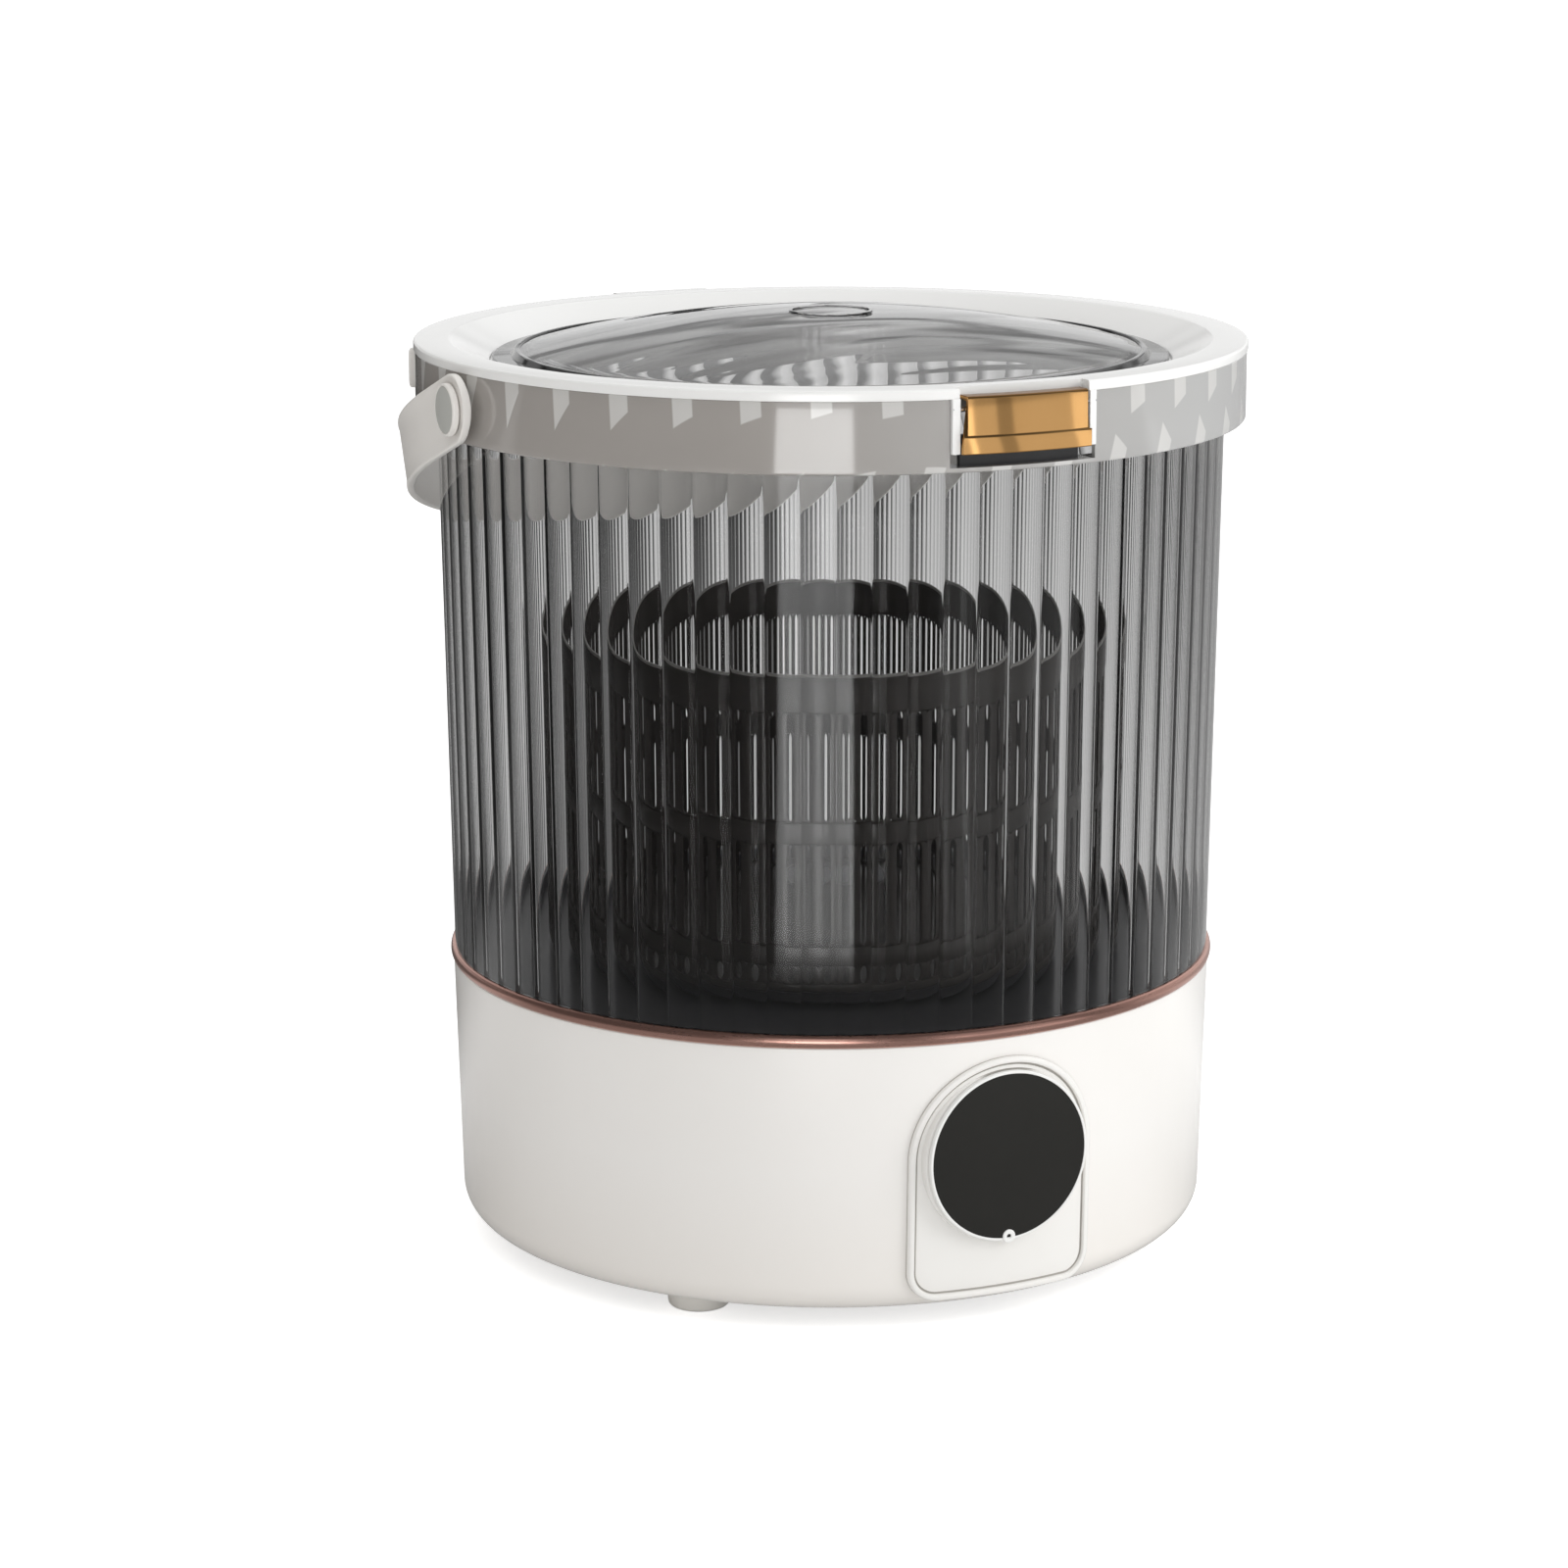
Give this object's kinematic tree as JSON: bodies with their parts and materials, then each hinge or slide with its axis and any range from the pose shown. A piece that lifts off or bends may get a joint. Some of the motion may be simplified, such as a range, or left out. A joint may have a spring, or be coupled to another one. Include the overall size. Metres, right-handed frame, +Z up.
{
  "type": "portable washing machine",
  "caption": "Round portable washing machine: fluted clear tub on a white base, hinged domed lid with clasp, swinging handle, timer knob, belt-driven slotted basket.",
  "frame": {"origin": "on the floor, on the axis of the tub", "axes": "+Z up along the tub's axis; -Y towards the front, where the clasp and the timer knob are; +X to the right of someone looking at it from behind"},
  "size_m": [0.3576, 0.3524, 0.3889],
  "materials": {
    "white_plastic": "warm white moulded plastic, satin gloss",
    "panel_plastic": "white moulded plastic, gloss",
    "lid_white": "white moulded plastic, gloss",
    "knob_white": "white moulded plastic, gloss",
    "knob_black": "black face, satin",
    "handle_plastic": "pale warm grey moulded plastic, satin",
    "grey_plastic": "grey moulded plastic",
    "dark_plastic": "dark grey moulded plastic",
    "basket_black": "black moulded plastic, satin gloss",
    "foot_rubber": "off-white rubber",
    "black_rubber": "black rubber",
    "seal_rubber": "grey silicone rubber",
    "smoky_clear": "smoky clear plastic, fluted",
    "collar_clear": "smoky clear plastic, smooth",
    "dome_clear": "clear plastic",
    "rose_gold": "rose-gold plated trim",
    "gold": "gold plated, polished",
    "steel": "bright zinc-plated steel",
    "brass": "turned brass",
    "cast_alloy": "die-cast aluminium",
    "board_green": "green circuit board",
    "wire_sheath": "insulated leads"
  },
  "bodies": {
    "housing": {"base_shell": "white_plastic", "bottom_plate": "white_plastic", "feet": "foot_rubber", "base_screws": "steel", "trim_ring": "rose_gold", "tub_wall": "smoky_clear", "tub_floor": "dark_plastic", "tub_screws": "steel", "tub_collar": "collar_clear", "latch_keeper": "dark_plastic", "hinge_bracket": "dark_plastic", "hinge_pin": "steel", "handle_studs": "handle_plastic", "stud_caps": "grey_plastic", "handle_stops": "handle_plastic", "control_panel": "panel_plastic", "timer_switch": "dark_plastic", "motor_housing": "steel", "motor_bracket": "steel", "motor_dampers": "black_rubber", "motor_screws": "steel", "bearing_housing": "cast_alloy", "housing_screws": "steel", "upper_bearing": "steel", "lower_bearing": "steel", "shaft_seal": "black_rubber", "drive_belt": "black_rubber", "control_board": "board_green", "board_standoffs": "brass", "run_capacitor": "grey_plastic", "drain_pipe": "grey_plastic", "drain_spout": "grey_plastic", "power_inlet": "dark_plastic", "wiring_harness": "wire_sheath"},
    "lid": {"lid_ring": "lid_white", "lid_dome": "dome_clear", "lid_gasket": "seal_rubber", "lid_hinge_arm": "lid_white", "latch_pin": "steel"},
    "clasp": {"latch_flap": "gold"},
    "handle": {"carry_handle": "handle_plastic"},
    "knob": {"timer_knob": "knob_white", "knob_face": "knob_black", "knob_pointer": "knob_white", "knob_shaft": "steel"},
    "rotor": {"basket": "basket_black", "basket_floor": "basket_black", "pulsator": "dark_plastic", "spindle": "steel", "drive_pulley": "cast_alloy", "spindle_nut": "steel"},
    "motor_rotor": {"motor_shaft": "steel", "motor_pulley": "cast_alloy"},
    "stopper": {"drain_stopper": "black_rubber"}
  },
  "joints": [
    {"name": "lid_hinge", "type": "hinge", "parent": "housing", "child": "lid", "pos_m": [0, 0.1746, 0.364], "axis": [-1, 0, 0], "range_deg": [0, 100]},
    {"name": "clasp_flip", "type": "hinge", "parent": "lid", "child": "clasp", "pos_m": [0, -0.1685, 0.371], "axis": [-1, 0, 0], "range_deg": [0, 55]},
    {"name": "handle_swing", "type": "hinge", "parent": "housing", "child": "handle", "pos_m": [0, -0.021, 0.361], "axis": [1, 0, 0], "range_deg": [0, 200]},
    {"name": "knob_turn", "type": "hinge", "parent": "housing", "child": "knob", "pos_m": [0, -0.16, 0.071], "axis": [0, -1, 0], "range_deg": [0, 300]},
    {"name": "rotor_spin", "type": "hinge", "parent": "housing", "child": "rotor", "pos_m": [0, 0, 0.1], "axis": [0, 0, 1], "continuous": true},
    {"name": "motor_spin", "type": "hinge", "parent": "housing", "child": "motor_rotor", "pos_m": [-0.07967, 0.046, 0.07], "axis": [0, 0, 1], "continuous": true},
    {"name": "stopper_lift", "type": "slide", "parent": "housing", "child": "stopper", "axis": [0, 0, 1], "range_m": [0, 0.03]}
  ],
  "couplings": [
    {"joint": "motor_spin", "follows": "rotor_spin", "ratio": 4}
  ]
}
